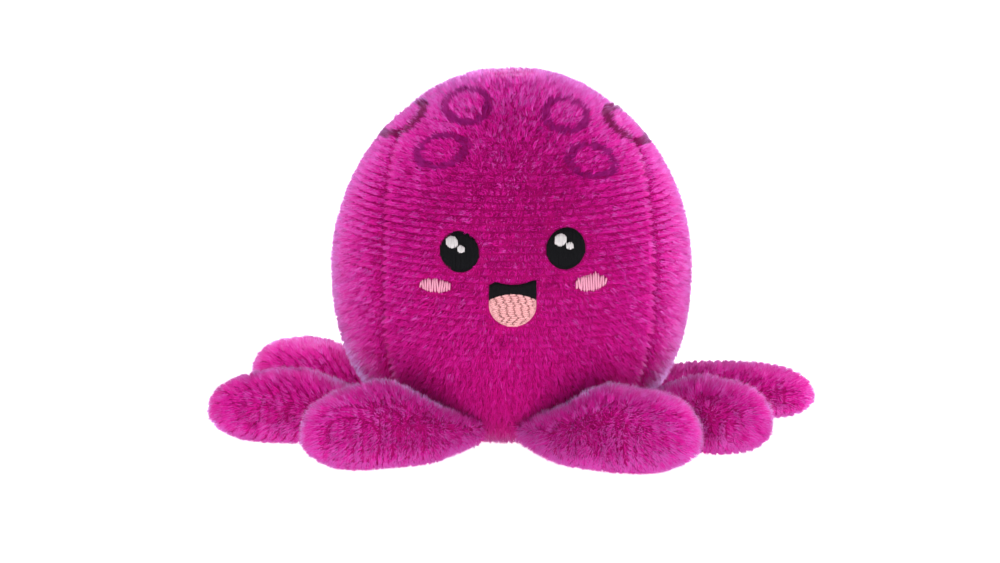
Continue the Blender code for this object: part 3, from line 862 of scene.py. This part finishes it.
def tube(path, radius):
    """Points and quads of a thread along a path, closed at both ends by a short taper."""
    count = len(path)
    ahead = unit(np.gradient(path, axis=0))
    side = unit(np.cross(ahead, np.array([0.31, -0.2, 0.93])))
    other = np.cross(ahead, side)
    taper = np.ones(count)
    taper[0] = taper[-1] = TUBE_END
    angles = np.arange(TUBE_SIDES) * 2 * math.pi / TUBE_SIDES
    cosines = np.cos(angles)[None, :, None]
    sines = np.sin(angles)[None, :, None]
    ring = side[:, None] * cosines + other[:, None] * sines
    points = path[:, None] + ring * (radius * taper)[:, None, None]
    index = np.arange(count * TUBE_SIDES).reshape(count, TUBE_SIDES)
    ahead_index = np.roll(index, -1, axis=1)
    quads = np.stack([index[:-1], index[1:], ahead_index[1:], ahead_index[:-1]], axis=-1)
    return points.reshape(-1, 3), quads.reshape(-1, 4)


def threads_mesh(name, paths, radius, bed, material):
    """One mesh of threads along paths, over a bed of the same thread."""
    points = [bed[0]]
    faces = [bed[1]]
    start = len(bed[0])
    for path in paths:
        made, quads = tube(path, radius)
        points.append(made)
        faces.append(quads + start)
        start += len(made)
    return add_mesh(name, np.concatenate(points), np.concatenate(faces), [material])


def patch_bed(head, columns, depth):
    """A closed slab under a patch of (across, low, high) columns."""
    shares = np.linspace(0, 1, BED_ROWS)
    across = np.repeat(columns[:, 0:1], BED_ROWS, axis=1)
    height = columns[:, 1:2] + (columns[:, 2:3] - columns[:, 1:2]) * shares[None]
    top = head.face_point(across, height, np.full(across.shape, depth))
    below = head.face_point(across, height, np.full(across.shape, depth - BED_DEPTH))
    upper = grid_faces(*across.shape)
    count = across.size
    lower = upper[:, ::-1] + count
    index = np.arange(count).reshape(across.shape)
    edge = np.concatenate([index[:, 0], index[-1, 1:], index[::-1, -1][1:], index[0, ::-1][1:-1]])
    after = np.roll(edge, -1)
    wall = np.stack([edge, edge + count, after + count, after], axis=-1)
    points = np.concatenate([top.reshape(-1, 3), below.reshape(-1, 3)])
    return points, np.concatenate([upper, lower, wall])


def satin(head, columns, pitch, wobble, lift, random):
    """Upright satin stitches across a patch, each pulled down at its ends."""
    low_x, high_x = columns[0, 0], columns[-1, 0]
    count = max(2, int(round((high_x - low_x) / pitch)))
    paths = []
    for place in low_x + (np.arange(count) + 0.5) / count * (high_x - low_x):
        low = np.interp(place, columns[:, 0], columns[:, 1]) - abs(random.normal(0, wobble))
        high = np.interp(place, columns[:, 0], columns[:, 2]) + abs(random.normal(0, wobble))
        shares = np.linspace(0, 1, STITCH_POINTS)
        height = low + (high - low) * shares
        bow = 1 - np.abs(2 * shares - 1) ** STITCH_SQUARENESS
        lean = random.normal(0, wobble) * (shares - 0.5)
        paths.append(head.face_point(place + lean, height, lift + STITCH_DOME * bow))
    return paths


def tatami(head, columns, crown, pitch, random):
    """Short stitches in rows that follow the patch's arched top, laid like bricks."""
    low_x, high_x = columns[0, 0], columns[-1, 0]
    middle = (low_x + high_x) / 2
    half = (high_x - low_x) / 2
    depth = columns[:, 2].max() - columns[:, 1].min()
    paths = []
    for row in range(int(depth / pitch)):
        drop = (row + 0.5) * pitch
        offset = random.random() * TONGUE_STITCH
        for start in np.arange(low_x - offset, high_x, TONGUE_STITCH):
            end = start + TONGUE_STITCH
            xs = np.linspace(start + TONGUE_GAP, end - TONGUE_GAP, TONGUE_STITCH_POINTS)
            zs = columns[:, 2].max() - drop - crown * ((xs - middle) / half) ** 2
            low = np.interp(xs, columns[:, 0], columns[:, 1])
            high = np.interp(xs, columns[:, 0], columns[:, 2])
            inside = (zs > low) & (zs < high) & (xs > low_x) & (xs < high_x)
            if inside.sum() < TONGUE_FEWEST_POINTS:
                continue
            xs = xs[inside]
            zs = zs[inside]
            bow = 1 - np.abs(np.linspace(-1, 1, len(xs))) ** STITCH_SQUARENESS
            lift = STITCH_LIFT + STITCH_DOME * bow + random.normal(0, TONGUE_UNEVENNESS)
            paths.append(head.face_point(xs, zs, lift))
    return paths


def outline_of(columns, margin):
    """The closed (x, z) outline of a patch, moved out by a margin."""
    upper = np.stack([columns[:, 0], columns[:, 2]], axis=-1)
    lower = np.stack([columns[:, 0], columns[:, 1]], axis=-1)[::-1]
    ring = np.concatenate([upper, lower])
    middle = ring.mean(0)
    return ring + unit(ring - middle) * margin


def oval_columns(node, kind):
    """An oval a little inside a CAD patch's box, as (across, low, high) columns."""
    low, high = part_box(node)
    low = low + Vector((1, 0, 1)) * PATCH_INSET
    high = high - Vector((1, 0, 1)) * PATCH_INSET
    angles = np.linspace(OVAL_END, math.pi - OVAL_END, OVAL_COLUMNS[kind])
    middle = (low.z + high.z) / 2
    half = (high.z - low.z) / 2
    across = (low.x + high.x) / 2 - np.cos(angles) * (high.x - low.x) / 2
    return np.stack([across, middle - half * np.sin(angles), middle + half * np.sin(angles)], axis=-1)


def tongue_columns():
    """The tongue, with an arched top and a round bottom, as (across, low, high) columns."""
    low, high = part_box("tongue")
    share = -np.cos(np.linspace(TONGUE_END, math.pi - TONGUE_END, TONGUE_COLUMNS))
    across = (low.x + high.x) / 2 + share * ((high.x - low.x) / 2 - PATCH_INSET)
    top = high.z - TONGUE_SHOULDER * share**2
    side = low.z + (high.z - low.z) * TONGUE_SIDE
    bottom = side - (side - low.z) * np.sqrt(1 - share**2)
    return np.stack([across, bottom, top], axis=-1)


def mouth_columns(tongue):
    """The mouth above the tongue, with a dip in its top and two corners of its own."""
    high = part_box("mouth")[1].z
    across = tongue[:, 0]
    share = (across - across.mean()) / (across.max() - across.mean())
    left_share = (-share - LEFT_CORNER_FROM) / (1 - LEFT_CORNER_FROM)
    right_share = (share - RIGHT_CORNER_FROM) / (1 - RIGHT_CORNER_FROM)
    left_corner = LEFT_CORNER * smooth_step(left_share)
    right_corner = RIGHT_CORNER * smooth_step(right_share)
    top = high + MOUTH_OVERLAP - MOUTH_DIP * (1 - share**2) - left_corner - right_corner
    return np.stack([across, tongue[:, 2] - MOUTH_OVERLAP, top], axis=-1)


def ride_on(obj, body, *nodes, slot):
    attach(obj, body)
    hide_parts(*nodes)


def satin_patch(name, head, columns, kind, lift, material, random):
    """A patch of satin stitches over a bed of the same thread."""
    pitch, wobble, radius = (size * MM for size in SATIN[kind])
    bed_lift = lift - CHEEK_BED_DROP if kind == "cheek" else lift
    bed = patch_bed(head, columns, bed_lift)
    paths = satin(head, columns, pitch, wobble, lift, random)
    return threads_mesh(name, paths, radius, bed, material)


def make_embroidery(head, threads, random):
    """The face's stitching. Returns the outlines that the pile leaves clear."""
    outlines = []
    for side in ("left", "right"):
        eye = oval_columns("eye_" + side, "eye")
        outlines.append(eye)
        black = threads["black"]
        obj = satin_patch(f"eye_{side}_stitches", head, eye, "eye", STITCH_LIFT, black, random)
        ride_on(obj, "head", "eye_" + side, slot="black_thread")
        for size in ("large", "small"):
            node = f"eye_{side}_{size}_highlight"
            spot = oval_columns(node, "highlight")
            white = threads["white"]
            obj = satin_patch(node + "_stitches", head, spot, "highlight", HIGHLIGHT_LIFT, white, random)
            ride_on(obj, "head", node, slot="white_thread")
    for side in ("left", "right"):
        cheek = oval_columns("cheek_" + side, "cheek")
        outlines.append(cheek)
        pink = threads["pink"]
        obj = satin_patch(f"cheek_{side}_stitches", head, cheek, "cheek", STITCH_LIFT, pink, random)
        ride_on(obj, "head", "cheek_" + side, slot="pink_thread")
    tongue = tongue_columns()
    mouth = mouth_columns(tongue)
    outlines.append(np.stack([tongue[:, 0], tongue[:, 1], mouth[:, 2]], axis=-1))
    obj = satin_patch("mouth_stitches", head, mouth, "mouth", STITCH_LIFT, threads["black"], random)
    ride_on(obj, "head", "mouth", slot="black_thread")
    bed = patch_bed(head, tongue, STITCH_LIFT)
    paths = tatami(head, tongue, TONGUE_SHOULDER, TONGUE_ROW, random)
    obj = threads_mesh("tongue_stitches", paths, TONGUE_THREAD, bed, threads["peach"])
    ride_on(obj, "head", "tongue", slot="peach_thread")
    return outlines


# Setting.


def make_stage():
    bpy.ops.mesh.primitive_plane_add(size=FLOOR_SIZE, location=(0, 0, 0))
    floor = bpy.context.object
    floor.name = "floor"
    white = make_material("floor", FLOOR_COLOUR)
    shader = white.node_tree.nodes["Principled BSDF"]
    shader.inputs["Emission Color"].default_value = WHITE
    shader.inputs["Emission Strength"].default_value = FLOOR_GLOW
    floor.data.materials.append(white)


def area_light(name, place, target, size, power):
    light = bpy.data.lights.new(name, "AREA")
    light.shape = "DISK"
    light.size = size
    light.energy = power
    obj = bpy.data.objects.new(name, light)
    bpy.context.scene.collection.objects.link(obj)
    obj.location = place
    obj.rotation_euler = (Vector(target) - Vector(place)).to_track_quat("-Z", "Y").to_euler()


def make_lights():
    world = bpy.data.worlds.new("studio")
    bpy.context.scene.world = world
    world.use_nodes = True
    background = world.node_tree.nodes["Background"]
    background.inputs["Color"].default_value = WHITE
    background.inputs["Strength"].default_value = WORLD_STRENGTH
    for name, settings in LIGHTS.items():
        area_light(name, *settings)


def make_camera():
    camera = bpy.data.objects.new("camera", bpy.data.cameras.new("camera"))
    bpy.context.scene.collection.objects.link(camera)
    rise = math.radians(CAMERA_RISE)
    ahead = Vector((0, math.cos(rise), -math.sin(rise)))
    aim = Vector(CAMERA_AIM)
    camera.location = aim - ahead * LENS_DISTANCE
    camera.rotation_euler = ahead.to_track_quat("-Z", "Y").to_euler()
    camera.data.lens = LENS_MM
    camera.data.sensor_width = SENSOR_WIDTH
    bpy.context.scene.camera = camera


def finish_hidden_nodes():
    """Procedural finishes for the frame's own pieces that stay inside the skins."""
    finishes = {}
    for slot, (name, colour) in HIDDEN_FINISHES.items():
        finishes[slot] = make_material(name, colour)
        add_mottle(finishes[slot])
    for node in frame["nodes"].values():
        slot = node.data.materials[0].name.split(".")[0]
        if slot in finishes:
            node.data.materials[0] = finishes[slot]


def dress_head(head, cloth, pile, patches, random):
    for panel, skin in make_head_skins(head, cloth).items():
        for fur in head_piles(panel, skin, head, patches, pile, random):
            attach(fur, "head")
        give_thickness(skin)
        ride_on(skin, "head", panel + "_panel", slot="plush_head")


def dress_tentacle(name, joint, cloth, pile, random):
    body = name + "_tentacle"
    pressed = np.array(PRESSED_ASIDE.get(name, (0.0, 0.0, 0.0)))
    tentacle = Tentacle(joint, name, pressed)
    for part, upper in (("top", True), ("underside", False)):
        skin = tentacle_skin(f"{body}_{part}_cloth", tentacle, upper, cloth)
        settings = TENTACLE_PILE[name]
        fur = tentacle_pile(f"{body}_{part}_pile", skin, tentacle, settings, pile, random)
        give_thickness(skin)
        for obj in (skin, fur):
            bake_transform(obj)
        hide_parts(f"{body}_{part}")


def make_octopus():
    random = np.random.default_rng(SEED)
    head = Head()
    cloth = make_material("cloth", CLOTH_PAINTED_SHADE_COLOUR, gloss=0.0)
    add_mottle(cloth)
    pile = [
        make_material("pile_" + name, colour, gloss=0.0, sheen=1.0)
        for name, colour in PILE_COLOURS.items()
    ]
    threads = {
        name: make_material(name + "_stitch", colour, gloss=gloss)
        for name, (colour, gloss) in THREADS.items()
    }
    patches = make_embroidery(head, threads, random)
    dress_head(head, cloth, pile, patches, random)
    joints = {joint["child"]: joint for joint in frame["joints"]}
    for name in TENTACLE_PILE:
        dress_tentacle(name, joints[name + "_tentacle"], cloth, pile, random)


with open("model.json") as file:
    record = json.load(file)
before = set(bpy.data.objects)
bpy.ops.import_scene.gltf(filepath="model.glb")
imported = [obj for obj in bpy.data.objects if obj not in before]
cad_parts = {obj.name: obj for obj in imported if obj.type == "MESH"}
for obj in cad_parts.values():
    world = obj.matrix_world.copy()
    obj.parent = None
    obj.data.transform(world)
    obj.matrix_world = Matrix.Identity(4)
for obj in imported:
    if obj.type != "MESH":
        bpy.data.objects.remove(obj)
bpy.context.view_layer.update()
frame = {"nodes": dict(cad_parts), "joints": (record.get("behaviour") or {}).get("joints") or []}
bpy.context.scene.view_settings.view_transform = "Standard"
make_stage()
make_lights()
make_camera()
finish_hidden_nodes()
make_octopus()
